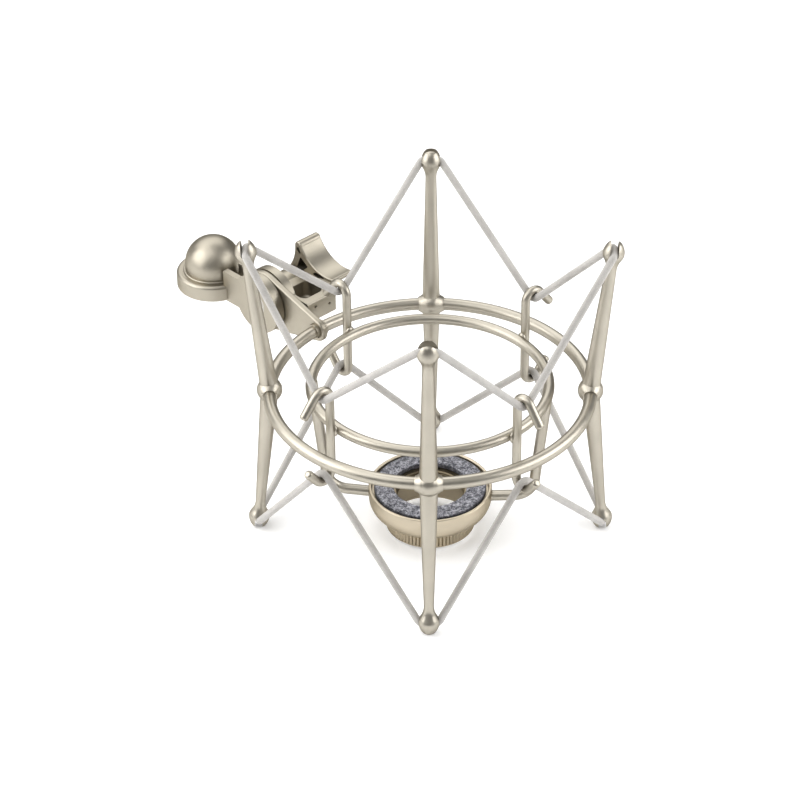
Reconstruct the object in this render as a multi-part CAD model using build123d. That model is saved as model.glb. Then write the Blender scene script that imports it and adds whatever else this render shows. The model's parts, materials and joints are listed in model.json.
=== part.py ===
from build123d import *
import math
import os

# Spider shock mount for a studio microphone: a rigid outer cage, an inner cage hung in it on
# two endless elastic cords, a basket with a captive ring nut, and a swivel stand adapter.
# Millimetres.  +Z is up, along the cage's axis.  The origin is the centre of the ring nut's
# top face, where the microphone's thread goes in.

# ---- driving dimensions -------------------------------------------------------------------
CAGE_R = 70.0            # outer ring, centre line
CAGE_ROD_R = 2.75        # outer ring, rod radius
RING_Z = 53.5            # outer ring plane above the ring nut's top face
UP_TIP = (78.0, 70.8)    # upper tip: distance from the axis, height above the ring plane
LOW_TIP = (76.8, -68.8)  # lower tip, same two measures
SPINDLE_R = 4.0          # spindle's radius where it leaves its ball
NECK_UP_R = 2.45         # upper spindle's neck, under its tip
NECK_LOW_R = 2.2
BALL_R = 5.6
FLARE = ((0.0, 5.2), (2.6, 4.9), (4.2, 4.1), (5.2, 3.5), (5.8, 3.25))
# FLARE: the ball's sides along the ring, as (distance from the ball's centre, radius)
ACORN_R = 4.7            # tip's widest radius
ACORN_TOP = 4.7          # tip above its widest place
NECK_BACK = 9.0          # neck below the widest place

CORD_R = 1.65            # elastic cord radius
BED_GAP = 0.08           # room round the cord in a tip
TIP_CORNER = 4.0         # the cord turns down this far from a tip's middle plane
TIP_BEND = 3.2

FLOAT_R = 51.9           # inner ring, centre line
FLOAT_ROD_R = 2.35       # inner ring and strut rod radius
FLOAT_Z = 3.4            # inner ring above the outer ring plane
FLOAT_TURN = -3.5        # the inner cage hangs turned by this much, degrees about +Z
HOOK_WIRE_R = 1.95
HOOK_AT = 56.2           # hook wire's distance from the axis, against the ring's outer side
HOOK_BEND = 4.5          # centre-line radius of a hook's bend
HOOK_TOP = 26.0          # centre line of the upper bend's crown, above the outer ring plane
HOOK_LOW = -20.3         # centre line of the lower bend's crown
TOP_TAIL = (6.7, -8.2)   # upper hook's tail past its bend: outward, up
LOW_TAIL = (5.2, 6.3)    # lower hook's tail
CROWN_BEND = HOOK_WIRE_R + CORD_R + 0.2   # the cord's bend round a hook wire
STRUT_TOP = (51.6, 2.2)  # strut's corners: distance from the axis, height above the ring plane
STRUT_KNEE = (45.5, -54.2)
STRUT_END = (26.8, -55.6)
STRUT_BEND = 10.0

CUP_R = 27.5             # basket rim, outside
CUP_WALL = 1.4
CUP_RIM_Z = -51.0
CUP_LIP_Z = -64.2        # lower edge of the cup's skirt
SEAT_Z = -53.4           # floor the felt lies on
FLOOR_T = 2.2
FELT_T = 2.6
FELT_HOLE_R = 16.4
FELT_R = 25.0
LIP_R = 20.1             # opening of the cup's skirt, round the ring nut
NECK_R = 16.9            # the nut's neck, turning in the cup's floor
RETAIN_R = 18.6          # retaining ring, outside
RETAIN_T = 0.8
RECESS = 1.1             # recess in the seat floor for the retaining ring
GROOVE_R = 16.2          # groove in the neck for the retaining ring
NUT_R = 19.9             # knurled band of the ring nut, outside
NUT_LOW_Z = -71.6
SKIRT_R = 19.3           # the nut's plain skirt, inside the cup's lip
SKIRT_BORE_R = 18.1
THREAD_R = 15.2          # microphone thread, crest radius in the nut
RIDGES = 72

AXIS_AT = 104.4          # swivel axis, distance from the cage axis
AXIS_Z = 0.8             # swivel axis above the outer ring plane
SWIVEL_AZ = 135.0        # the adapter sits at the back left
DISC_R = 14.2            # fork's two clamp discs
FORK_NEAR = -8.0         # outer face of the fork's first disc, along the swivel axis
CHEEK_NEAR = -3.35
CHEEK_FAR = -0.25
FORK_FAR = 4.4           # outer face of the fork's second disc
BLOCK_END = 17.5
LEVER_NEAR = 18.05
LEVER_FAR = 30.5
BOLT_R = 3.0
BOLT_HEAD_R = 5.2
BOLT_HEAD_T = 2.2
BUSH_R = 4.8             # threaded bush in the lever's hub
CAP_T = 2.5              # lever's wall past the end of its bush
CHEEK_R = 14.2           # cheek's hub
EYE_R = 5.3              # cheek's eye round the ring's rod
SLEEVE_R = 3.6           # collars each side of the eye
SLEEVE_T = 1.6
ARM_TOP = 7.8            # fork arm above the swivel axis
ARM_T = 3.0              # arm plate, thinner than its disc
WASHER_T = 0.4           # friction washer
THRUST_R = 7.5
THRUST_T = 0.45
BLOCK_R = 8.6            # block round the bolt
BLOCK_REACH = 25.8       # inner end of the block, towards the cage
BLOCK_LOW = -3.0
BLOCK_HIGH = 7.4
BLOCK_NEAR = 0.35        # the block's inner part reaches in beside the cheek
POCKET = (-21.4, -9.6, 2.1, 14.6)   # open pocket: from and to outward, from and to along the axis
POCKET_LOW = -0.8
BLOCK_SCREWS = ((5.0, 4.4), (13.6, 2.4))   # along the swivel axis, above it
SCREW_R = 0.75
RUN_GAP = 0.05           # radial gap of a turning fit
FLANGE_AT = 36.4         # stand flange axis, outward from the swivel axis
FLANGE_R = 17.2
FLANGE_TOP = 0.4         # above the swivel axis
FLANGE_LOW = -7.4
BEAD_T = 0.8             # bead round the dome's foot
STAND_THREAD_R = 7.9     # crest radius of the 5/8 inch stand thread
DOME_R = 13.0
DOME_WALL = 1.6
DOME_SKIRT = 2.7         # straight part under the half sphere
INSERT_R = 9.8
INSERT_TOP = 7.6
INSERT_COLLAR = (1.1, 1.2)   # insert's collar: how far it stands out, how thick

SIDES = {"right": 0.0, "back": 90.0, "left": 180.0, "front": 270.0}
CORNERS = {"back_right": 45.0, "back_left": 135.0, "front_left": 225.0, "front_right": 315.0}


# ---- helpers ------------------------------------------------------------------------------
def turned(shape, azimuth):
    """A shape made at azimuth 0 in the outer ring's plane, set at its own azimuth."""
    return Pos(0, 0, RING_Z) * (Rot(0, 0, azimuth) * shape)


def at_swivel(shape):
    """A shape made round the swivel axis, with +X outward and the axis along -Y, set in place."""
    return turned(Pos(AXIS_AT, 0, AXIS_Z) * shape, SWIVEL_AZ)


def slab(sketch, start, end):
    """A sketch of the plane across the swivel axis (X outward, Y up) from start to end along it."""
    return extrude(Plane(origin=(0, -start, 0), x_dir=(1, 0, 0), z_dir=(0, -1, 0)) * sketch, end - start)


def round_bar(radius, start, end):
    """A round bar on the swivel axis."""
    return slab(Circle(radius), start, end)


def ring_of(centre_r, rod_r, z=0.0):
    return Pos(0, 0, z) * Torus(centre_r, rod_r)


def tube_along(path, radius):
    """A round rod along a wire, started square to it."""
    return sweep(Plane(origin=path @ 0, z_dir=path % 0) * Circle(radius), path)


# ---- outer cage ---------------------------------------------------------------------------
def node_body():
    """A ball on the ring, its sides drawn out a little into a lip round the ring's rod."""
    stations = [(-along, radius) for along, radius in FLARE[:0:-1]] + list(FLARE)
    circles = [Rot(0, 0, math.degrees(along / CAGE_R)) * (Plane.XZ * (Pos(CAGE_R, 0) * Circle(radius)))
               for along, radius in stations]
    return Pos(CAGE_R, 0, 0) * Sphere(BALL_R) + loft(circles)


def spindle(tip, neck_r):
    """A tapered rod from the ring's plane to its acorn tip, slotted for the cord."""
    run = math.hypot(tip[0] - CAGE_R, tip[1])
    tilt = math.degrees(math.atan2(tip[0] - CAGE_R, tip[1]))
    with BuildPart() as rod:
        with BuildSketch(Plane.XZ):
            with BuildLine():
                neck = (neck_r, run - NECK_BACK)
                Polyline((0, run + ACORN_TOP), (0, 0), (SPINDLE_R, 0), neck)
                Spline(neck, (ACORN_R, run - 0.6), (0.72 * ACORN_R, run + 0.7 * ACORN_TOP), (0, run + ACORN_TOP),
                       tangents=((-0.02, 1), (-1, 0)))
            make_face()
        revolve(axis=Axis.Z)
    slot_r = CORD_R + BED_GAP
    slot = Pos(0, 0, run + 10) * Box(2 * slot_r, 20, 20)
    slot += Pos(0, 0, run) * Rot(90, 0, 0) * Cylinder(slot_r, 20)
    return Pos(CAGE_R, 0, 0) * Rot(0, tilt, 0) * (rod.part - slot)


def cord_loop(tip, crown_z, turn_out, radius):
    """An endless cord through four slotted tips and under four hook bends.

    A quarter runs from the middle of one tip's slot to the next.  Its corners are either side
    of the slots and at the hook, a little past the bend's crown so the cord bears on the wire."""
    hook_r = HOOK_AT + HOOK_BEND
    turn = math.radians(45 + FLOAT_TURN)
    reach, height = tip
    corners = [(reach, 0, height), (reach, TIP_CORNER, height),
               (hook_r * math.cos(turn), hook_r * math.sin(turn), crown_z + turn_out),
               (TIP_CORNER, reach, height), (0, reach, height)]
    path = FilletPolyline(*corners, radius=[TIP_BEND, CROWN_BEND, TIP_BEND])
    quarter = tube_along(path, radius)
    whole = quarter
    for k in range(1, 4):
        whole += Rot(0, 0, 90 * k) * quarter
    return Pos(0, 0, RING_Z) * whole


def crown_offset(tip, crown_z):
    """From a hook bend's centre line to the cord's unrounded corner, for runs up to the tips."""
    across = math.sqrt(0.5) * (tip[0] - TIP_CORNER)
    rise = abs(tip[1] - crown_z) + 1.4 * CROWN_BEND
    return CROWN_BEND / math.cos(math.atan2(rise, across))


def upper_cord(radius=CORD_R):
    return cord_loop(UP_TIP, HOOK_TOP, -crown_offset(UP_TIP, HOOK_TOP), radius)


def lower_cord(radius=CORD_R):
    return cord_loop(LOW_TIP, HOOK_LOW, crown_offset(LOW_TIP, HOOK_LOW), radius)


# ---- inner cage ---------------------------------------------------------------------------
def hook_wire():
    """One vertical wire with a J hook at each end, both turned outward."""
    def hook(crown_z, tail, up):
        slope = math.atan2(abs(tail[1]), tail[0])
        bend_centre = crown_z - up * HOOK_BEND
        cx = HOOK_AT + HOOK_BEND
        leave = (cx + HOOK_BEND * math.sin(slope), bend_centre + up * HOOK_BEND * math.cos(slope))
        end = (leave[0] + tail[0], leave[1] + tail[1])
        return bend_centre, (cx, crown_z), leave, end

    top_z, top_crown, top_leave, top_end = hook(HOOK_TOP, TOP_TAIL, 1)
    low_z, low_crown, low_leave, low_end = hook(HOOK_LOW, LOW_TAIL, -1)
    with BuildPart() as wire:
        with BuildLine(Plane.XZ) as path:
            Line(top_end, top_leave)
            ThreePointArc(top_leave, top_crown, (HOOK_AT, top_z))
            Line((HOOK_AT, top_z), (HOOK_AT, low_z))
            ThreePointArc((HOOK_AT, low_z), low_crown, low_leave)
            Line(low_leave, low_end)
        with BuildSketch(Plane(origin=path.line @ 0, z_dir=path.line % 0)):
            Circle(HOOK_WIRE_R)
        sweep()
    ends = wire.part.edges().filter_by(GeomType.CIRCLE).filter_by(
        lambda e: abs(e.radius - HOOK_WIRE_R) < 0.01 and e.center().X > HOOK_AT + 10)
    return fillet(ends, 1.2)


def weld_bead():
    """The fillet of weld metal between a hook wire and the inner ring."""
    centre = (FLOAT_R + FLOAT_ROD_R + 0.1, 0, FLOAT_Z)
    bead = Pos(*centre) * scale(Sphere(1.0), by=(1.5, 2.3, 2.9))
    wire = Pos(HOOK_AT, 0, FLOAT_Z) * Cylinder(HOOK_WIRE_R, 20)
    return bead - wire - ring_of(FLOAT_R, FLOAT_ROD_R, FLOAT_Z)


def strut():
    """A rod from the inner ring's underside down and in to the basket's wall."""
    points = [(STRUT_TOP[0], 0, STRUT_TOP[1]), (STRUT_KNEE[0], 0, STRUT_KNEE[1]),
              (STRUT_END[0], 0, STRUT_END[1])]
    rod = tube_along(FilletPolyline(*points, radius=STRUT_BEND), FLOAT_ROD_R)
    return rod - ring_of(FLOAT_R, FLOAT_ROD_R, FLOAT_Z)


def cup_outline():
    """Half section of the spun cup: rim, seat floor with its recess, skirt drawn in to a lip."""
    floor_low = SEAT_Z - FLOOR_T
    hole = NECK_R + RUN_GAP
    recess = RETAIN_R + 0.3
    inside = CUP_R - CUP_WALL
    shoulder = (CUP_R, CUP_RIM_Z - 4.4)
    lip_out = (LIP_R + 1.2, CUP_LIP_Z)
    lip_in = (LIP_R, CUP_LIP_Z + 0.8)
    with BuildSketch(Plane.XZ) as half:
        with BuildLine():
            Spline(shoulder, (CUP_R - 2.3, CUP_LIP_Z + 2.4), lip_out, tangents=((0, -1), (-1, -0.3)))
            Polyline(lip_out, (LIP_R, CUP_LIP_Z), lip_in)
            Spline(lip_in, (CUP_R - 4.3, CUP_LIP_Z + 3.2), (inside, floor_low), tangents=((1, 0.3), (0, 1)))
            Polyline((inside, floor_low), (hole, floor_low), (hole, SEAT_Z - RECESS),
                     (recess, SEAT_Z - RECESS), (recess, SEAT_Z), (inside, SEAT_Z),
                     (inside, CUP_RIM_Z), (CUP_R, CUP_RIM_Z), shoulder)
        make_face()
    return half.sketch


def basket_cup():
    cup = revolve(cup_outline(), Axis.Z)
    rim = cup.edges().filter_by(GeomType.CIRCLE).filter_by(
        lambda e: abs(e.center().Z - CUP_RIM_Z) < 0.01)
    return fillet(rim, 0.5)


def felt_ring():
    felt = Pos(0, 0, SEAT_Z + FELT_T / 2) * (Cylinder(FELT_R, FELT_T) - Cylinder(FELT_HOLE_R, FELT_T))
    return fillet(felt.edges().filter_by(GeomType.CIRCLE).group_by(Axis.Z)[-1], 0.6)


def retaining_ring():
    """Split spring ring in the groove of the nut's neck, in the recess under the felt."""
    ring = Cylinder(RETAIN_R, RETAIN_T) - Cylinder(GROOVE_R, RETAIN_T)
    gap = Pos(NECK_R, 0, 0) * Box(8, 3.0, 2)
    return Pos(0, 0, SEAT_Z - RECESS + 0.1 + RETAIN_T / 2) * (ring - gap)


def nut_outline():
    """Half section of the ring nut: grooved neck, web under the cup's floor, skirt, knurled band."""
    top = SEAT_Z - 0.1
    web_top = SEAT_Z - FLOOR_T - 0.15
    web_low = web_top - 2.4
    groove_low = SEAT_Z - RECESS + 0.1
    groove_top = groove_low + RETAIN_T
    band_top = CUP_LIP_Z - 0.2
    return make_face(Polyline(
        (THREAD_R, top), (NECK_R, top), (NECK_R, groove_top), (GROOVE_R, groove_top),
        (GROOVE_R, groove_low), (NECK_R, groove_low), (NECK_R, web_top), (SKIRT_R, web_top),
        (SKIRT_R, band_top), (NUT_R, band_top - 0.4), (NUT_R, NUT_LOW_Z + 0.5),
        (NUT_R - 0.5, NUT_LOW_Z), (SKIRT_BORE_R + 0.9, NUT_LOW_Z), (SKIRT_BORE_R, NUT_LOW_Z + 2.0),
        (SKIRT_BORE_R, web_low), (THREAD_R, web_low), close=True))


def ring_nut():
    """Captive ring nut with the microphone's thread in its neck and a knurled grip."""
    nut = revolve(Plane.XZ * nut_outline(), Axis.Z)
    step = 360 / RIDGES
    notch = Pos(NUT_R + 0.1, 0) * (Rot(0, 0, 45) * Rectangle(0.8, 0.8))
    notches = Sketch() + [Rot(0, 0, k * step) * notch for k in range(RIDGES)]
    low = NUT_LOW_Z + 1.0
    return nut - Pos(0, 0, low) * extrude(notches, CUP_LIP_Z - 1.2 - low)


# ---- swivel bracket -----------------------------------------------------------------------
def in_swivel_frame(shape):
    """A shape of the cage's own frame, seen from the swivel axis' frame."""
    return Pos(-AXIS_AT, 0, -AXIS_Z) * (Rot(0, 0, -SWIVEL_AZ) * shape)


def bracket_cheek():
    """Tear-drop plate with rounded edges, from the swivel axis to an eye round the ring's rod."""
    eye_at = CAGE_R - AXIS_AT
    outline = make_hull(Edge.make_circle(CHEEK_R).edges()
                        + (Pos(eye_at, -AXIS_Z) * Circle(EYE_R)).edges())
    plate = slab(outline, CHEEK_NEAR, CHEEK_FAR)
    faces = plate.edges().group_by(Axis.Y)
    plate = fillet(faces[0] + faces[-1], 0.9)
    plate -= round_bar(BOLT_R + RUN_GAP, CHEEK_NEAR - 1, CHEEK_FAR + 1)
    return plate - in_swivel_frame(ring_of(CAGE_R, CAGE_ROD_R))


def bracket_collars():
    """Two short collars on the ring, welded against the cheek's faces."""
    sleeve = Pos(CAGE_R - AXIS_AT, -AXIS_Z) * Circle(SLEEVE_R)
    pair = slab(sleeve, CHEEK_NEAR - SLEEVE_T, CHEEK_NEAR) + slab(sleeve, CHEEK_FAR, CHEEK_FAR + SLEEVE_T)
    return pair - in_swivel_frame(ring_of(CAGE_R, CAGE_ROD_R))


# ---- stand adapter ------------------------------------------------------------------------
def arm_outline():
    """One fork arm across the swivel axis: clamp disc, straight arm, step onto the flange."""
    arm = Pos(10.0, (ARM_TOP + FLANGE_LOW) / 2) * Rectangle(24.8, ARM_TOP - FLANGE_LOW)
    foot = Pos(18.0, (FLANGE_TOP + FLANGE_LOW) / 2) * Rectangle(20.0, FLANGE_TOP - FLANGE_LOW)
    return Circle(DISC_R) + arm + foot


def adapter_fork():
    """Casting with a clamp disc each side of the cheek, two arms and the stand flange."""
    near = slab(Circle(DISC_R), FORK_NEAR, CHEEK_NEAR - WASHER_T - RUN_GAP)
    far = slab(Circle(DISC_R), CHEEK_FAR + WASHER_T + RUN_GAP, FORK_FAR)
    near = fillet(near.edges().filter_by(GeomType.CIRCLE).group_by(Axis.Y)[-1], 0.7)
    arms = slab(arm_outline(), FORK_NEAR, FORK_NEAR + ARM_T)
    arms += slab(arm_outline(), FORK_FAR - ARM_T, FORK_FAR)
    mid = (CHEEK_NEAR + CHEEK_FAR) / 2
    flange_h = FLANGE_TOP - FLANGE_LOW
    flange = Pos(FLANGE_AT, -mid, (FLANGE_TOP + FLANGE_LOW) / 2) * Cylinder(FLANGE_R, flange_h)
    rims = flange.edges().filter_by(GeomType.CIRCLE).group_by(Axis.Z)
    flange = fillet(rims[-1], 1.6)
    flange = fillet(flange.edges().filter_by(GeomType.CIRCLE).group_by(Axis.Z)[0], 0.8)
    bead = Pos(FLANGE_AT, -mid, FLANGE_TOP + BEAD_T / 2) * Cylinder(DOME_R + 1.0, BEAD_T)
    bead = fillet(bead.edges().filter_by(GeomType.CIRCLE).group_by(Axis.Z)[-1], 0.5)
    web = Pos(20.5, -mid, (FLANGE_TOP + FLANGE_LOW) / 2) * Box(3.0, FORK_FAR - FORK_NEAR - 1, flange_h)
    body = near + far + arms + flange + web + bead
    body -= round_bar(BOLT_R, FORK_NEAR - 1, FORK_FAR + 1)
    body -= round_bar(BOLT_HEAD_R, FORK_NEAR - 1, FORK_NEAR + BOLT_HEAD_T)
    body -= Pos(FLANGE_AT, -mid, 0) * Cylinder(INSERT_R, 30)
    return body


def stand_axis(shape):
    """A shape made about its own Z, set on the stand flange's axis at the swivel axis' height."""
    return Pos(FLANGE_AT, -(CHEEK_NEAR + CHEEK_FAR) / 2, 0) * shape


def dome_cap():
    """Hollow cap over the thread: a short straight skirt and a half sphere."""
    low = FLANGE_TOP + BEAD_T
    spring = low + DOME_SKIRT
    skirt = Pos(0, 0, (low + spring) / 2)
    inner_r = DOME_R - DOME_WALL
    outer = skirt * Cylinder(DOME_R, DOME_SKIRT) + Pos(0, 0, spring) * Sphere(DOME_R)
    inner = skirt * Cylinder(inner_r, DOME_SKIRT) + Pos(0, 0, spring) * Sphere(inner_r)
    below = Pos(0, 0, low - 20) * Box(60, 60, 40)
    return stand_axis(outer - inner - below)


def thread_insert():
    """Threaded bush in the flange, with a collar on the flange's bead inside the dome."""
    length = INSERT_TOP - FLANGE_LOW
    middle = Pos(0, 0, (INSERT_TOP + FLANGE_LOW) / 2)
    roof_t = 1.5
    out, thick = INSERT_COLLAR
    bush = middle * Cylinder(INSERT_R, length) - middle * Cylinder(STAND_THREAD_R, length)
    collar = Cylinder(INSERT_R + out, thick) - Cylinder(INSERT_R - 0.5, thick)
    collar = Pos(0, 0, FLANGE_TOP + BEAD_T + thick / 2) * collar
    roof = Pos(0, 0, INSERT_TOP - roof_t / 2) * Cylinder(INSERT_R, roof_t)
    return stand_axis(bush + collar + roof)


def friction_washers():
    """Two thin discs between the cheek and the fork's clamp discs."""
    face = Circle(DISC_R - 1.0) - Circle(BOLT_R + 0.2)
    near = slab(face, CHEEK_NEAR - RUN_GAP - WASHER_T, CHEEK_NEAR - RUN_GAP)
    far = slab(face, CHEEK_FAR + RUN_GAP, CHEEK_FAR + RUN_GAP + WASHER_T)
    return near + far


def clamp_bolt():
    """Bolt along the swivel axis with a flat socket head flush in the first clamp disc."""
    head = round_bar(BOLT_HEAD_R, FORK_NEAR + 0.2, FORK_NEAR + BOLT_HEAD_T)
    socket = slab(RegularPolygon(2.2, 6), FORK_NEAR + 0.2, FORK_NEAR + 1.7)
    return head - socket + round_bar(BOLT_R, FORK_NEAR + BOLT_HEAD_T, LEVER_FAR - CAP_T - 1.0)


def clamp_block():
    """Housing between the fork and the lever, with an open pocket beside the clamp bolt."""
    height = BLOCK_HIGH - BLOCK_LOW
    middle = (BLOCK_LOW + BLOCK_HIGH) / 2
    inner_reach = BLOCK_REACH - DISC_R - 0.5
    body = slab(Circle(BLOCK_R) + Pos(-BLOCK_REACH / 2, middle) * Rectangle(BLOCK_REACH, height),
                FORK_FAR, BLOCK_END)
    body += slab(Pos(inner_reach / 2 - BLOCK_REACH, middle) * Rectangle(inner_reach, height),
                 BLOCK_NEAR, FORK_FAR)
    body = fillet(body.edges().filter_by(Axis.Y), 0.8)
    out_from, out_to, along_from, along_to = POCKET
    deep = BLOCK_HIGH + 4 - POCKET_LOW
    pocket = Pos((out_from + out_to) / 2, -(along_from + along_to) / 2, POCKET_LOW + deep / 2)
    pocket *= Box(out_to - out_from, along_to - along_from, deep)
    pocket = fillet(pocket.edges().filter_by(Axis.Z), 3.0)
    pocket = fillet(pocket.edges().group_by(Axis.Z)[0], 1.5)
    body -= pocket
    body -= round_bar(BOLT_R, FORK_FAR - 1, BLOCK_END + 1)
    for place in BLOCK_SCREWS:
        body -= in_block_end(place) * (Pos(0, 0, 0.9) * Cylinder(SCREW_R, 1.8))
    return body


def in_block_end(place):
    """The place of a screw in the block's inner end, its own +Z pointing into the block."""
    return Pos(-BLOCK_REACH, -place[0], place[1]) * Rot(0, 90, 0)


def block_screws():
    """Two small set screws sunk in the block's inner end."""
    screw = Pos(0, 0, 1.2) * Cylinder(SCREW_R, 1.2)
    return Compound(children=[in_block_end(place) * screw for place in BLOCK_SCREWS])


def thrust_washer():
    """Thin washer between the block and the lever."""
    return slab(Circle(THRUST_R) - Circle(BOLT_R), BLOCK_END, BLOCK_END + THRUST_T)


# ---- clamp lever --------------------------------------------------------------------------
def lever_outline():
    """Across the axis: hub, upright horn, and a hollow thumb face down to the second tip."""
    with BuildSketch() as outline:
        with BuildLine():
            horn_left = (1.9, 19.9)
            horn_right = (-2.6, 20.1)
            tip_top = (-22.4, 11.5)
            tip_low = (-22.6, 9.3)
            ThreePointArc(horn_left, (-0.3, 21.9), horn_right)
            ThreePointArc(horn_right, (-8.6, 13.9), tip_top)
            ThreePointArc(tip_top, (-23.7, 10.3), tip_low)
            Spline(tip_low, (-12.0, 7.2), (-7.6, -3.4), tangents=((1, -0.05), (0.35, -1)))
            ThreePointArc((-7.6, -3.4), (1.0, -8.3), (8.0, 2.4))
            Spline((8.0, 2.4), (3.2, 12.0), horn_left, tangents=((-0.35, 1), (0, 1)))
        make_face()
    return outline.sketch


def clamp_lever():
    """Cast lever with two open pockets in its near face and a bush for the bolt."""
    body = slab(lever_outline(), LEVER_NEAR, LEVER_FAR)
    body = fillet(body.edges().filter_by(GeomType.BSPLINE) + body.edges().filter_by(GeomType.CIRCLE), 0.6)
    upper = Polyline((0.7, 8.6), (-1.9, 14.6), (-6.8, 11.3), (-3.7, 8.4), close=True)
    lower = Polyline((-9.2, 9.0), (-12.2, 10.8), (-20.4, 9.9), (-13.0, 8.6), close=True)
    slot = Polyline((1.0, 18.9), (-0.8, 19.1), (-2.3, 16.6), (-0.9, 16.1), close=True)
    for hole in (upper, lower, slot):
        body -= slab(fillet(make_face(hole).vertices(), 0.5), LEVER_NEAR - 1, LEVER_NEAR + 8)
    return body - round_bar(BUSH_R, LEVER_NEAR - 1, LEVER_FAR - CAP_T)


def lever_bush():
    """Threaded bush in the lever's hub."""
    bush = round_bar(BUSH_R, LEVER_NEAR, LEVER_FAR - CAP_T)
    return bush - round_bar(BOLT_R + RUN_GAP, LEVER_NEAR - 1, LEVER_FAR - CAP_T - 0.7)


# ---- the set ------------------------------------------------------------------------------
def outer_cage():
    ring = ring_of(CAGE_R, CAGE_ROD_R)
    node = node_body()
    upper = spindle(UP_TIP, NECK_UP_R) - node
    lower = mirror(spindle((LOW_TIP[0], -LOW_TIP[1]), NECK_LOW_R), Plane.XY) - node
    upper_bed = upper_cord(CORD_R + BED_GAP)
    lower_bed = lower_cord(CORD_R + BED_GAP)
    parts = {"outer_ring": turned(ring, 0)}
    for side, azimuth in SIDES.items():
        parts["node_ball_" + side] = turned(node - ring, azimuth)
        parts["upper_spindle_" + side] = turned(upper, azimuth) - upper_bed
        parts["lower_spindle_" + side] = turned(lower, azimuth) - lower_bed
    parts["upper_elastic"] = upper_cord()
    parts["lower_elastic"] = lower_cord()
    return parts


def inner_cage():
    cup = basket_cup()
    parts = {"inner_ring": turned(ring_of(FLOAT_R, FLOAT_ROD_R, FLOAT_Z), FLOAT_TURN)}
    for corner, azimuth in CORNERS.items():
        parts["hook_wire_" + corner] = turned(hook_wire(), azimuth + FLOAT_TURN)
    beads = [turned(weld_bead(), azimuth + FLOAT_TURN) for azimuth in CORNERS.values()]
    parts["weld_beads"] = Compound(children=beads)
    parts["strut_right"] = turned(strut() - cup, FLOAT_TURN)
    parts["strut_left"] = turned(strut() - cup, 180 + FLOAT_TURN)
    parts["basket_cup"] = turned(cup, FLOAT_TURN)
    for make in (felt_ring, retaining_ring, ring_nut):
        parts[make.__name__] = turned(make(), FLOAT_TURN)
    return parts


def swivel():
    makers = (bracket_cheek, bracket_collars, adapter_fork, dome_cap, thread_insert,
              friction_washers, clamp_bolt, clamp_block, block_screws, thrust_washer,
              clamp_lever, lever_bush)
    return {make.__name__: at_swivel(make()) for make in makers}


os.makedirs("parts", exist_ok=True)
for name, shape in {**outer_cage(), **inner_cage(), **swivel()}.items():
    export_step(shape, "parts/" + name + ".step")
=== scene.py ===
import bpy
import json
import math
import random
import numpy as np
from mathutils import Matrix, Vector


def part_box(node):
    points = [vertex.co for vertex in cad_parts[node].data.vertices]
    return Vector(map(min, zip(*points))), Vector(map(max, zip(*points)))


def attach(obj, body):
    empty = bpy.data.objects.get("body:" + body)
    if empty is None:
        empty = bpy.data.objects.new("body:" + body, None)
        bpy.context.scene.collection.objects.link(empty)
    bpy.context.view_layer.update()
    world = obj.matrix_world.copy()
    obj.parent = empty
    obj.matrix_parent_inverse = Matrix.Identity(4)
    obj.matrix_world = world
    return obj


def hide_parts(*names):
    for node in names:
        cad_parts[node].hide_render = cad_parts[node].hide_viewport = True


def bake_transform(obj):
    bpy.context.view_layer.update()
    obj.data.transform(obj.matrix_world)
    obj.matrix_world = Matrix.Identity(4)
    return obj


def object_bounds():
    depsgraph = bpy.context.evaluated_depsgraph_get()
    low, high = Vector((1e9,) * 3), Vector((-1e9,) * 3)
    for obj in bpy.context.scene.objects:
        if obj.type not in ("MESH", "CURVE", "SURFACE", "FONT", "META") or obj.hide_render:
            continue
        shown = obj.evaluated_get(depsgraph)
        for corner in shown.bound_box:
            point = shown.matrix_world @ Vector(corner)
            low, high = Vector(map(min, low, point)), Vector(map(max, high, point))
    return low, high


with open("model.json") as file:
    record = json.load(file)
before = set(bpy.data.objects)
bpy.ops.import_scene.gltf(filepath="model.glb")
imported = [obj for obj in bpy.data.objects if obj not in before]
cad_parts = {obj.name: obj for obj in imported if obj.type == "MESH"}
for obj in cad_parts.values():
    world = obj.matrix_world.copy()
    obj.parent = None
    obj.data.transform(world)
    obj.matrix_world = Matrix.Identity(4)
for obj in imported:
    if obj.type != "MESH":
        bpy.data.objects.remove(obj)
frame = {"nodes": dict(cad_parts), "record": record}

CAD_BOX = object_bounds()
MM = 0.001

# Looks of a spider shock mount: materials for the CAD nodes, two woven elastic loops, a wool
# felt ring with loose fibres, two screw threads, a plain studio and a camera.
# Metres.  +Z is up, along the cage's axis.  The origin is the centre of the ring nut's top face.

# ---- places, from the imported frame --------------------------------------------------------
RING_LOW, RING_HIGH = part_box("outer_ring")
RING_Z = (RING_LOW.z + RING_HIGH.z) / 2
FLOOR_Z = CAD_BOX[0][2]
FELT_LOW, FELT_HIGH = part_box("felt_ring")
FELT_R = FELT_HIGH.x
FELT_HOLE_R = 16.4 * MM

# ---- camera: nearly square on, from a little above ----------------------------------------
VIEW_AZIMUTH = math.radians(1.2)
VIEW_ELEVATION = math.radians(34.21)
VIEW_DISTANCE = 1352.5 * MM
VIEW_ROLL = math.radians(-0.54)
VIEW_TARGET = Vector((-13.1 * MM, 0.0, RING_Z - 5.42 * MM))
LENS = 139.2


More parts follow.
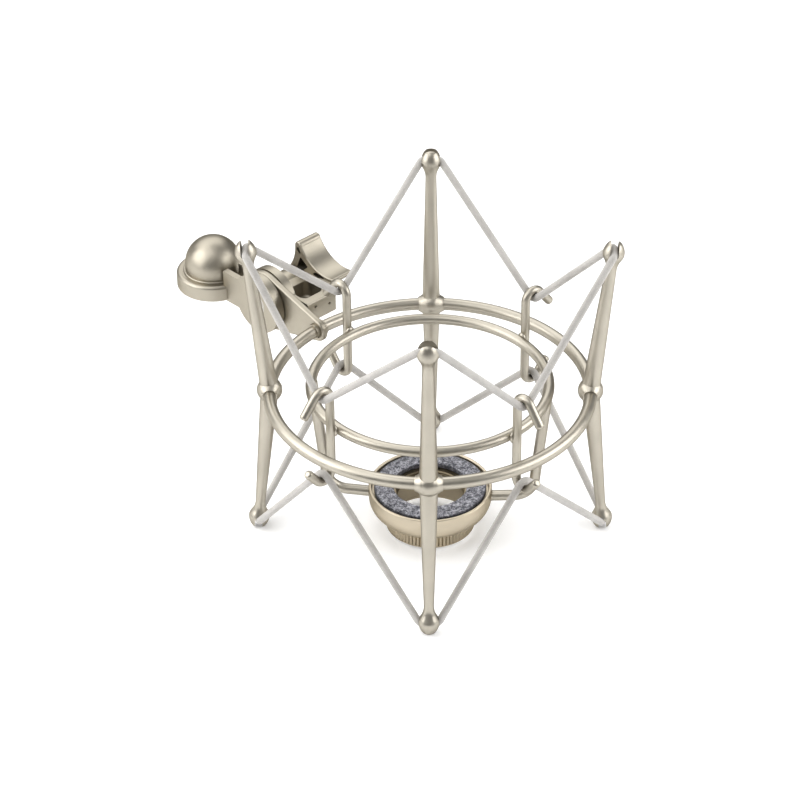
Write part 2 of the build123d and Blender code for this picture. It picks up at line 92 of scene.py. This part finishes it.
def make_camera():
    back = Vector((math.sin(VIEW_AZIMUTH) * math.cos(VIEW_ELEVATION),
                   -math.cos(VIEW_AZIMUTH) * math.cos(VIEW_ELEVATION),
                   math.sin(VIEW_ELEVATION)))
    right = (-back).cross(Vector((0, 0, 1))).normalized()
    up = right.cross(-back)
    rolled_right = right * math.cos(VIEW_ROLL) + up * math.sin(VIEW_ROLL)
    rolled_up = up * math.cos(VIEW_ROLL) - right * math.sin(VIEW_ROLL)
    data = bpy.data.cameras.new("camera")
    data.lens = LENS
    data.sensor_width = 36.0
    data.clip_start = 0.05
    camera = bpy.data.objects.new("camera", data)
    bpy.context.scene.collection.objects.link(camera)
    turn = Matrix((rolled_right, rolled_up, back)).transposed().to_4x4()
    camera.matrix_world = Matrix.Translation(VIEW_TARGET + back * VIEW_DISTANCE) @ turn
    bpy.context.scene.camera = camera


# ---- node helpers: "tree" is a material or a world ----------------------------------------
def new_material(name):
    material = bpy.data.materials.new(name)
    material.use_nodes = True
    material.node_tree.nodes.clear()
    output = add(material, "ShaderNodeOutputMaterial")
    shader = add(material, "ShaderNodeBsdfPrincipled")
    link(material, shader.outputs["BSDF"], output.inputs["Surface"])
    return material, shader


def add(tree, kind, **values):
    """A node with its properties and unlinked inputs set by name."""
    node = tree.node_tree.nodes.new(kind)
    for name, value in values.items():
        if hasattr(node, name):
            setattr(node, name, value)
        else:
            node.inputs[name.replace("_", " ")].default_value = value
    return node


def link(tree, out_socket, in_socket):
    tree.node_tree.links.new(out_socket, in_socket)


def place(material, scale=(1, 1, 1)):
    """Object coordinates, stretched: the texture space of every material here."""
    coordinates = add(material, "ShaderNodeTexCoord")
    mapping = add(material, "ShaderNodeMapping", Scale=scale)
    link(material, coordinates.outputs["Object"], mapping.inputs["Vector"])
    return mapping.outputs["Vector"]


def noise(material, vector, scale, detail=3.0, rough=0.6):
    node = add(material, "ShaderNodeTexNoise", Scale=scale, Detail=detail, Roughness=rough)
    link(material, vector, node.inputs["Vector"])
    return node.outputs["Fac"]


def ramp(tree, value, stops):
    """Colours by value: stops is a list of (position, (r, g, b))."""
    node = add(tree, "ShaderNodeValToRGB")
    elements = node.color_ramp.elements
    while len(elements) < len(stops):
        elements.new(0.5)
    for element, (position, colour) in zip(elements, stops):
        element.position = position
        element.color = (*colour, 1.0)
    link(tree, value, node.inputs["Fac"])
    return node.outputs["Color"]


def span(material, value, from_ends, to_ends):
    """A value between the two from_ends brought between the two to_ends."""
    node = add(material, "ShaderNodeMapRange")
    node.inputs["From Min"].default_value, node.inputs["From Max"].default_value = from_ends
    node.inputs["To Min"].default_value, node.inputs["To Max"].default_value = to_ends
    link(material, value, node.inputs["Value"])
    return node.outputs["Result"]


def blended(material, kind, share, below, above):
    """One colour laid over another by a blend type; a share of 1 is its whole effect."""
    node = add(material, "ShaderNodeMix", data_type="RGBA", blend_type=kind)
    node.inputs["Factor"].default_value = share
    link(material, below, node.inputs["A"])
    link(material, above, node.inputs["B"])
    return node.outputs["Result"]


def bump(material, shader, height, strength, distance, normal=None):
    node = add(material, "ShaderNodeBump", Strength=strength, Distance=distance)
    link(material, height, node.inputs["Height"])
    if normal is not None:
        link(material, normal, node.inputs["Normal"])
    link(material, node.outputs["Normal"], shader.inputs["Normal"])
    return node.outputs["Normal"]


def from_axis(material, near, far):
    """0 to 1 as the distance from the cage axis goes from near to far."""
    coordinates = add(material, "ShaderNodeTexCoord")
    flat = add(material, "ShaderNodeVectorMath", operation="MULTIPLY")
    flat.inputs[1].default_value = (1, 1, 0)
    link(material, coordinates.outputs["Object"], flat.inputs[0])
    length = add(material, "ShaderNodeVectorMath", operation="LENGTH")
    link(material, flat.outputs["Vector"], length.inputs[0])
    return span(material, length.outputs["Value"], (near, far), (0.0, 1.0))


# ---- materials ----------------------------------------------------------------------------
STEEL_TINT = (0.465, 0.432, 0.366)
CASTING_TINT = (0.395, 0.362, 0.298)
BRASS_TINT = (0.455, 0.39, 0.285)
CUP_TINT = (0.575, 0.505, 0.39)
FASTENER_TINT = (0.46, 0.44, 0.40)
EDGE_TINT = (0.30, 0.29, 0.27, 1.0)       # the plate turns darker where it is seen at a slant
# Painted shade for the nut's shaded bore: inside this radius, over this edge, the plate's colour is
# multiplied by this tone.
BORE_SHADE_R = 15.3 * MM                   # painted shade: the nut's plate is darker inside this radius
BORE_SHADE_EDGE = 0.7 * MM
BORE_SHADE_TONE = (0.42, 0.40, 0.36)
NOISE_MIDDLE = (0.3, 0.7)                 # where nearly all of a noise's values lie


def nickel(name, tint, rough, grain=3000.0, grain_depth=0.012, stretch=(1, 1, 1), shaded_bore=False):
    """Satin nickel plate: fine blasted grain, soft blotches in its gloss, faint warm clouding, and, where
    asked, painted shade inside the nut's bore.
    """
    material, shader = new_material(name)
    shader.inputs["Metallic"].default_value = 1.0
    shader.inputs["Specular Tint"].default_value = EDGE_TINT
    vector = place(material, stretch)
    cloud = noise(material, vector, 60.0, 4.0)
    darker = tuple(c * 0.90 for c in tint)
    tone = ramp(material, cloud, [(0.35, darker), (0.62, tint)])
    # painted shade: the plate darkens inside the nut's bore, where it lies in shade
    if shaded_bore:
        outward = from_axis(material, BORE_SHADE_R, BORE_SHADE_R + BORE_SHADE_EDGE)
        bore_shade = ramp(material, outward, [(0.0, BORE_SHADE_TONE), (1.0, (1, 1, 1))])
        tone = blended(material, "MULTIPLY", 1.0, tone, bore_shade)
    link(material, tone, shader.inputs["Base Color"])
    blotch = noise(material, vector, 240.0, 5.0, 0.7)
    gloss = span(material, blotch, NOISE_MIDDLE, (rough - 0.05, rough + 0.06))
    link(material, gloss, shader.inputs["Roughness"])
    fine = noise(material, vector, grain, 2.0, 0.5)
    coarse = noise(material, vector, 420.0, 2.0)
    normal = bump(material, shader, coarse, 0.25, grain_depth * 0.4 * MM)
    bump(material, shader, fine, 0.35, grain_depth * MM, normal)
    return material


def woven_cord():
    """Light grey woven sleeve: bundles from the mesh, single threads and soil from noise."""
    material, shader = new_material("woven_cord")
    vector = place(material)
    cloud = noise(material, vector, 90.0, 3.0)
    thread = noise(material, vector, 2600.0, 2.0)
    soil = ramp(material, cloud, [(0.3, (0.44, 0.42, 0.395)), (0.7, (0.55, 0.53, 0.50))])
    gaps = ramp(material, thread, [(0.3, (0.68, 0.68, 0.68)), (0.65, (1, 1, 1))])
    link(material, blended(material, "MULTIPLY", 0.55, soil, gaps), shader.inputs["Base Color"])
    shader.inputs["Roughness"].default_value = 0.72
    shader.inputs["Sheen Weight"].default_value = 0.25
    shader.inputs["Sheen Roughness"].default_value = 0.5
    bump(material, shader, thread, 0.5, 0.03 * MM)
    return material


def wool_felt(name, dark, light):
    """Pressed wool: mottled blue-grey clumps, pale flecks, dark pores, and painted shade at the cut edges.
    """
    material, shader = new_material(name)
    vector = place(material)
    clump = noise(material, vector, 430.0, 6.0, 0.75)
    fleck = noise(material, vector, 1100.0, 4.0, 0.7)
    middle = tuple((a + b) / 2 for a, b in zip(dark, light))
    clumps = ramp(material, clump, [(0.40, dark), (0.50, middle), (0.60, light)])
    flecks = ramp(material, fleck, [(0.40, (0.12, 0.12, 0.14)), (0.60, (0.92, 0.92, 0.95))])
    mottled = blended(material, "OVERLAY", 0.85, clumps, flecks)
    # painted shade on the felt's cut edges, multiplied over its own mottled colour
    tone = blended(material, "MULTIPLY", 1.0, mottled, painted_felt_edge_shade(material))
    link(material, tone, shader.inputs["Base Color"])
    shader.inputs["Roughness"].default_value = 0.95
    shader.inputs["Sheen Weight"].default_value = 0.15
    bump(material, shader, fleck, 0.9, 0.14 * MM)
    return material


def painted_felt_edge_shade(material):
    """Painted shade towards the ring's two cut edges, standing in for its shaded inner wall and the shaded
    gap by the cup's rim, by distance from the cage axis.
    """
    outward = from_axis(material, FELT_HOLE_R, FELT_R)
    return ramp(material, outward, [(0.0, (0.30, 0.30, 0.31)), (0.06, (1, 1, 1)),
                                    (0.90, (1, 1, 1)), (0.985, (0.22, 0.22, 0.23))])


def friction_plastic():
    material, shader = new_material("friction_plastic")
    vector = place(material)
    cloud = noise(material, vector, 300.0)
    tone = ramp(material, cloud, [(0.3, (0.50, 0.48, 0.43)), (0.7, (0.58, 0.56, 0.50))])
    link(material, tone, shader.inputs["Base Color"])
    shader.inputs["Roughness"].default_value = 0.5
    bump(material, shader, noise(material, vector, 1800.0), 0.3, 0.02 * MM)
    return material


def dress_cad_nodes():
    """Each carried-over CAD node whose record slot has a material made here gets that material; the rest
    keep their own.
    """
    looks = {
        "satin_nickel_steel": nickel("satin_nickel_steel", STEEL_TINT, 0.37),
        "satin_nickel_casting": nickel("satin_nickel_casting", CASTING_TINT, 0.40,
                                       grain=2200.0, grain_depth=0.02),
        "satin_nickel_brass": nickel("satin_nickel_brass", BRASS_TINT, 0.36, shaded_bore=True),
        "satin_nickel_brass_cup": nickel("satin_nickel_brass_cup", CUP_TINT, 0.38,
                                         grain=1800.0, stretch=(1, 1, 3)),
        "fastener_steel": nickel("fastener_steel", FASTENER_TINT, 0.28),
        "friction_plastic": friction_plastic(),
    }
    slots = {part["node"]: part["material_slot"] for part in frame["record"]["subparts"]}
    for name, node in frame["nodes"].items():
        look = looks.get(slots[name])
        if look is None:
            continue
        node.data.materials.clear()
        node.data.materials.append(look)
        for polygon in node.data.polygons:
            polygon.material_index = 0
    return looks


# ---- mesh helpers -------------------------------------------------------------------------
def make_piece(name, vertices, faces, material, smooth=True):
    mesh = bpy.data.meshes.new(name)
    mesh.from_pydata([tuple(v) for v in vertices], [], faces)
    mesh.update()
    if smooth:
        mesh.shade_smooth()
    mesh.materials.append(material)
    piece = bpy.data.objects.new(name, mesh)
    bpy.context.scene.collection.objects.link(piece)
    return piece


def grid_faces(rows, columns, wrap_rows=False):
    """Quads of a grid of rows by columns whose columns close on themselves."""
    faces = []
    for i in range(rows if wrap_rows else rows - 1):
        below = ((i + 1) % rows) * columns
        for j in range(columns):
            k = (j + 1) % columns
            faces.append((i * columns + j, i * columns + k, below + k, below + j))
    return faces


def rounded_loop(corners, bends, step):
    """A closed line through corners joined by straight runs, each corner rounded by its radius."""
    line = []
    for i, (corner, radius) in enumerate(zip(corners, bends)):
        arriving = (corner - corners[i - 1]).normalized()
        leaving = (corners[(i + 1) % len(corners)] - corner).normalized()
        half_turn = arriving.angle(leaving) / 2
        inward = (leaving - arriving).normalized()
        onward = (arriving + leaving).normalized()
        centre = corner + inward * (radius / math.cos(half_turn))
        count = max(6, int(2 * half_turn * radius / step))
        for k in range(count + 1):
            angle = half_turn * (2 * k / count - 1)
            line.append(centre + (onward * math.sin(angle) - inward * math.cos(angle)) * radius)
    return line


def even_loop(points, step):
    """The same closed line with evenly spaced points, and each point's share of its length."""
    co = np.array([tuple(p) for p in points] + [tuple(points[0])])
    run = np.concatenate([[0.0], np.cumsum(np.linalg.norm(np.diff(co, axis=0), axis=1))])
    count = int(round(run[-1] / step))
    where = np.arange(count) * run[-1] / count
    even = np.stack([np.interp(where, run, co[:, axis]) for axis in range(3)], axis=1)
    return even, where / run[-1]


# ---- elastic cords ------------------------------------------------------------------------
CORD_R = 1.65 * MM
TIPS = {"upper": (78.0 * MM, RING_Z + 70.8 * MM), "lower": (76.8 * MM, RING_Z - 68.8 * MM)}
# TIPS: a level's slotted tips, as (distance from the cage axis, height)
CROWNS = {"upper": RING_Z + 26.0 * MM, "lower": RING_Z - 20.3 * MM}
HOOK_R = 60.7 * MM                      # hook crown, distance from the cage axis
HOOK_AZIMUTH = math.radians(45 - 3.5)   # the inner cage hangs turned by -3.5 degrees
TIP_CORNER = 4.0 * MM                   # the cord turns down this far from a tip's middle plane
TIP_BEND = 3.2 * MM
CROWN_BEND = 3.8 * MM
CROWN_REACH = 1.4 * CROWN_BEND          # from a crown to the cord's corner, for the slope alone
BEND_STEP = 0.3 * MM
CORD_STEP = 0.42 * MM     # mesh rings along the cord
BRAID_AROUND = 32         # mesh points round the cord
BRAID_BUNDLES = 8         # thread bundles each way round the sleeve
BRAID_TURNS = 150         # turns each bundle makes round the cord in a whole loop
BRAID_RELIEF = 0.09 * MM


def braid_height(angle, turn):
    """Relief of a plain braid: two families of bundles that pass over each other in turn."""
    one = (angle + turn) * BRAID_BUNDLES / 2
    two = (angle - turn) * BRAID_BUNDLES / 2
    over = 0.5 + 0.5 * np.sin(one) * np.sin(two)
    return over * np.abs(np.cos(one)) + (1 - over) * np.abs(np.cos(two))


def loop_corners(level):
    """Two corners in each tip's slot and one under each hook, round the cage."""
    reach, tip_z = TIPS[level]
    crown_z = CROWNS[level]
    across = math.sqrt(0.5) * (reach - TIP_CORNER)
    slope = math.atan2(abs(tip_z - crown_z) + CROWN_REACH, across)
    wrap = CROWN_BEND / math.cos(slope) * (-1 if level == "upper" else 1)
    hook = Vector((HOOK_R * math.cos(HOOK_AZIMUTH), HOOK_R * math.sin(HOOK_AZIMUTH), crown_z + wrap))
    corners = []
    for side in range(4):
        turn = Matrix.Rotation(math.radians(90 * side), 3, "Z")
        corners.append(turn @ Vector((reach, -TIP_CORNER, tip_z)))
        corners.append(turn @ Vector((reach, TIP_CORNER, tip_z)))
        corners.append(turn @ hook)
    return corners


def elastic_loop(level, material):
    """One endless woven loop, held by the slotted tips and by the hooks between them."""
    line = rounded_loop(loop_corners(level), [TIP_BEND, TIP_BEND, CROWN_BEND] * 4, BEND_STEP)
    points, shares = even_loop(line, CORD_STEP)
    ahead = np.roll(points, -1, axis=0) - np.roll(points, 1, axis=0)
    ahead /= np.linalg.norm(ahead, axis=1)[:, None]
    across = np.cross(ahead, [0.0, 0.0, 1.0])
    across /= np.linalg.norm(across, axis=1)[:, None]
    other = np.cross(ahead, across)
    angles = np.linspace(0, 2 * math.pi, BRAID_AROUND, endpoint=False)
    vertices = []
    for point, side_way, up_way, share in zip(points, across, other, shares):
        turn = 2 * math.pi * BRAID_TURNS * share
        radius = (CORD_R - BRAID_RELIEF + BRAID_RELIEF * braid_height(angles, turn))[:, None]
        round_it = np.cos(angles)[:, None] * side_way + np.sin(angles)[:, None] * up_way
        vertices.extend(point + radius * round_it)
    faces = grid_faces(len(points), BRAID_AROUND, wrap_rows=True)
    piece = make_piece(f"{level}_elastic_loop", vertices, faces, material)
    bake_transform(piece)
    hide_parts(f"{level}_elastic")


# ---- felt ring ----------------------------------------------------------------------------
FELT_COLUMNS = 420              # mesh points round the ring
FELT_ROWS = 96                  # mesh points round its section
FELT_SQUARE = 0.26              # power that squares the section: 1 would be an ellipse
FELT_TRIM = 0.22 * MM           # room left above and below for the lumps
FELT_LUMPS = 26                 # waves added up into the lumpy surface
FELT_LUMP_SCALE = 9.0
FELT_SWELL = 0.012              # the lumps' share of the section's height
FELT_BULGE = 0.006              # and of its width
FELT_LIFT = 0.10 * MM           # lumps in the top face
FELT_INNER_RISE = 0.25 * MM     # the top stands higher towards the hole
FIBRE_COUNT = 2600
FIBRE_STEPS = 5
FIBRE_R = 0.022 * MM
FIBRE_INSET = 0.2 * MM          # fibres keep this far from the ring's edges
FIBRE_SINK = 0.12 * MM          # and start this far below its highest point
FIBRE_LENGTH = (0.7, 1.9)       # millimetres
FIBRE_RISE = (0.08, 0.30)
FIBRE_CURL = 1.6                # radians, either way


def squared(value):
    return math.copysign(abs(value) ** FELT_SQUARE, value)


def felt_piece(material):
    """Pressed felt ring: rolled edges, lumpy surface, top rising a little towards the hole."""
    half_thick = (FELT_HIGH.z - FELT_LOW.z) / 2 - FELT_TRIM
    middle_r = (FELT_R + FELT_HOLE_R) / 2
    half_w = (FELT_R - FELT_HOLE_R) / 2
    middle_z = (FELT_HIGH.z + FELT_LOW.z) / 2
    rng = np.random.default_rng(7)
    lumps = [(rng.uniform(0.25, 1.0), rng.integers(30, 190), rng.integers(1, 9), rng.uniform(0, 6.28))
             for _ in range(FELT_LUMPS)]
    vertices = []
    for i in range(FELT_ROWS):
        a = 2 * math.pi * i / FELT_ROWS
        u = squared(math.cos(a))
        w = squared(math.sin(a))
        for j in range(FELT_COLUMNS):
            b = 2 * math.pi * j / FELT_COLUMNS
            lump = sum(k * math.sin(n * b + m * a + p) for k, n, m, p in lumps) / FELT_LUMP_SCALE
            radius = middle_r + half_w * u * (1.0 + FELT_BULGE * lump)
            z = middle_z + half_thick * w
            if w > 0:
                z += half_thick * w * FELT_SWELL * lump
                z += (FELT_LIFT * lump + FELT_INNER_RISE * (1 - u) / 2) * w
            vertices.append((radius * math.cos(b), radius * math.sin(b), max(z, FELT_LOW.z)))
    faces = grid_faces(FELT_ROWS, FELT_COLUMNS, wrap_rows=True)
    piece = make_piece("felt_ring_pad", vertices, faces, material)
    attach(piece, "inner_cage")
    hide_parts("felt_ring")


def fibre(start, heading, length, curl, rise):
    """The points of one loose fibre: a thin three-sided strand that arches and curls."""
    points = []
    point = start.copy()
    for k in range(FIBRE_STEPS + 1):
        share = k / FIBRE_STEPS
        here = point + Vector((0, 0, rise * math.sin(math.pi * share)))
        side = Vector((-math.sin(heading), math.cos(heading), 0))
        points.extend([here + side * FIBRE_R, here - side * FIBRE_R, here + Vector((0, 0, 1.5 * FIBRE_R))])
        heading += curl / FIBRE_STEPS
        point += Vector((math.cos(heading), math.sin(heading), 0)) * (length / FIBRE_STEPS)
    return points


def felt_fibres(material):
    """Short loose wool fibres lying on the felt's top."""
    random.seed(11)
    vertices = []
    faces = []
    for _ in range(FIBRE_COUNT):
        azimuth = random.uniform(0, 2 * math.pi)
        radius = random.uniform(FELT_HOLE_R + FIBRE_INSET, FELT_R - FIBRE_INSET)
        start = Vector((radius * math.cos(azimuth), radius * math.sin(azimuth), FELT_HIGH.z - FIBRE_SINK))
        heading = random.uniform(0, 2 * math.pi)
        length = random.uniform(*FIBRE_LENGTH) * MM
        curl = random.uniform(-FIBRE_CURL, FIBRE_CURL)
        rise = random.uniform(*FIBRE_RISE) * MM
        base = len(vertices)
        last = base + 3 * FIBRE_STEPS
        vertices.extend(fibre(start, heading, length, curl, rise))
        for a in range(base, last, 3):
            for j in range(3):
                n = (j + 1) % 3
                faces.append((a + j, a + n, a + 3 + n, a + 3 + j))
        faces.append((base, base + 2, base + 1))
        faces.append((last, last + 1, last + 2))
    piece = make_piece("felt_fibres", vertices, faces, material)
    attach(piece, "inner_cage")


# ---- threads ------------------------------------------------------------------------------
MIC_BORE_R = 15.2 * MM
MIC_THREAD_LENGTH = 4.65 * MM
MIC_PITCH = 1.0 * MM
MIC_DEPTH = 0.55 * MM
STAND_BORE_R = 7.9 * MM
STAND_PITCH = 0.94 * MM
STAND_DEPTH = 0.40 * MM
STAND_ENDS = (0.3 * MM, 1.6 * MM)   # plain bore below and above the stand thread
RIDGE_PER_TURN = 120                # mesh points in a turn
RIDGE_FADE = 12                     # the first and last 1/12 thin out
RIDGE_ROOT = 0.02 * MM              # the ridge's foot is this far inside the bore's wall
RIDGE_FOOT = 0.46                   # half widths, as shares of the pitch
RIDGE_CREST = 0.09


def thread_ridge(name, centre, radius, ends, pitch, depth, body, material):
    """Helical ridge inside a bore between two heights, thinning to nothing at both."""
    low, high = ends
    turns = (high - low - pitch) / pitch
    count = int(turns * RIDGE_PER_TURN)
    foot = radius + RIDGE_ROOT
    vertices = []
    for i in range(count + 1):
        share = i / count
        fade = min(1.0, RIDGE_FADE * share, RIDGE_FADE * (1 - share))
        angle = 2 * math.pi * turns * share
        z = low + pitch / 2 + pitch * turns * share
        crest = radius - depth * fade
        outline = ((foot, RIDGE_FOOT * pitch), (crest, RIDGE_CREST * pitch),
                   (crest, -RIDGE_CREST * pitch), (foot, -RIDGE_FOOT * pitch))
        for r, dz in outline:
            vertices.append((centre[0] + r * math.cos(angle), centre[1] + r * math.sin(angle), z + dz))
    faces = grid_faces(count + 1, 4)
    faces.append((3, 2, 1, 0))
    faces.append(tuple(range(count * 4, count * 4 + 4)))
    piece = make_piece(name, vertices, faces, material, smooth=False)
    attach(piece, body)


def make_threads(material):
    nut_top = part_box("ring_nut")[1].z
    thread_ridge("mic_thread_ridge", (0.0, 0.0), MIC_BORE_R, (nut_top - MIC_THREAD_LENGTH, nut_top),
                 MIC_PITCH, MIC_DEPTH, "ring_nut", material)
    low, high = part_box("thread_insert")
    centre = ((low.x + high.x) / 2, (low.y + high.y) / 2)
    ends = (low.z + STAND_ENDS[0], high.z - STAND_ENDS[1])
    thread_ridge("stand_thread_ridge", centre, STAND_BORE_R, ends,
                 STAND_PITCH, STAND_DEPTH, "stand_adapter", material)


# ---- stage --------------------------------------------------------------------------------
FLOOR_SIZE = 6.0          # half the floor's side
SOFTBOXES = (             # name, place, size, brightness of its face, the point it faces
    ("back_box", (-0.35, 1.10, 1.30), (2.2, 1.5), 1.9, (0.0, 0.0, 0.05)),
    ("top_box", (-0.45, -0.25, 1.15), (1.1, 0.9), 1.5, (-0.05, 0.0, 0.05)),
    ("left_box", (-0.50, -0.08, 0.30), (0.55, 0.42), 3.4, (0.0, -0.04, 0.06)),
    ("right_box", (0.50, -0.08, 0.30), (0.55, 0.42), 3.4, (0.0, -0.04, 0.06)),
)
SKY = ((0.0, 0.16), (0.3, 0.20), (0.7, 0.42), (1.0, 0.45))   # height of a direction, its grey


def make_floor():
    """A plain white floor with a faint glow of its own, so shadows on it stay light."""
    size = FLOOR_SIZE
    corners = [(-size, -size, FLOOR_Z), (size, -size, FLOOR_Z),
               (size, size, FLOOR_Z), (-size, size, FLOOR_Z)]
    material, shader = new_material("pale_floor")
    shader.inputs["Base Color"].default_value = (0.93, 0.93, 0.93, 1.0)
    shader.inputs["Roughness"].default_value = 0.9
    shader.inputs["Specular IOR Level"].default_value = 0.1
    shader.inputs["Emission Color"].default_value = (1.0, 1.0, 1.0, 1.0)
    shader.inputs["Emission Strength"].default_value = 0.16
    floor = make_piece("floor", corners, [(0, 1, 2, 3)], material, smooth=False)


def softbox(name, place_at, size, radiance, target):
    """A rectangular soft light of a given brightness per unit of its face."""
    data = bpy.data.lights.new(name, "AREA")
    data.shape = "RECTANGLE"
    data.size, data.size_y = size
    data.energy = radiance * math.pi * size[0] * size[1]
    light = bpy.data.objects.new(name, data)
    light.location = place_at
    light.rotation_euler = (Vector(target) - Vector(place_at)).to_track_quat("-Z", "Y").to_euler()
    light.visible_camera = False
    bpy.context.scene.collection.objects.link(light)


def make_sky():
    """Dim grey light from all round, lighter from above."""
    world = bpy.data.worlds.new("studio")
    bpy.context.scene.world = world
    world.use_nodes = True
    world.node_tree.nodes.clear()
    coordinates = add(world, "ShaderNodeTexCoord")
    split = add(world, "ShaderNodeSeparateXYZ")
    background = add(world, "ShaderNodeBackground", Strength=1.0)
    output = add(world, "ShaderNodeOutputWorld")
    link(world, coordinates.outputs["Generated"], split.inputs["Vector"])
    shades = ramp(world, split.outputs["Z"], [(height, (grey, grey, grey)) for height, grey in SKY])
    link(world, shades, background.inputs["Color"])
    link(world, background.outputs["Background"], output.inputs["Surface"])


def make_studio():
    make_floor()
    for row in SOFTBOXES:
        softbox(*row)
    make_sky()
    bpy.context.scene.view_settings.view_transform = "Standard"


# ---- the scene ----------------------------------------------------------------------------
def build():
    make_camera()
    looks = dress_cad_nodes()
    cord = woven_cord()
    for level in ("upper", "lower"):
        elastic_loop(level, cord)
    felt_piece(wool_felt("wool_felt", (0.05, 0.052, 0.062), (0.36, 0.36, 0.38)))
    felt_fibres(wool_felt("wool_fibre", (0.16, 0.16, 0.18), (0.55, 0.55, 0.56)))
    # the mic thread ridge lies inside the nut's bore and takes its painted shade
    make_threads(looks["satin_nickel_brass"])
    make_studio()


build()
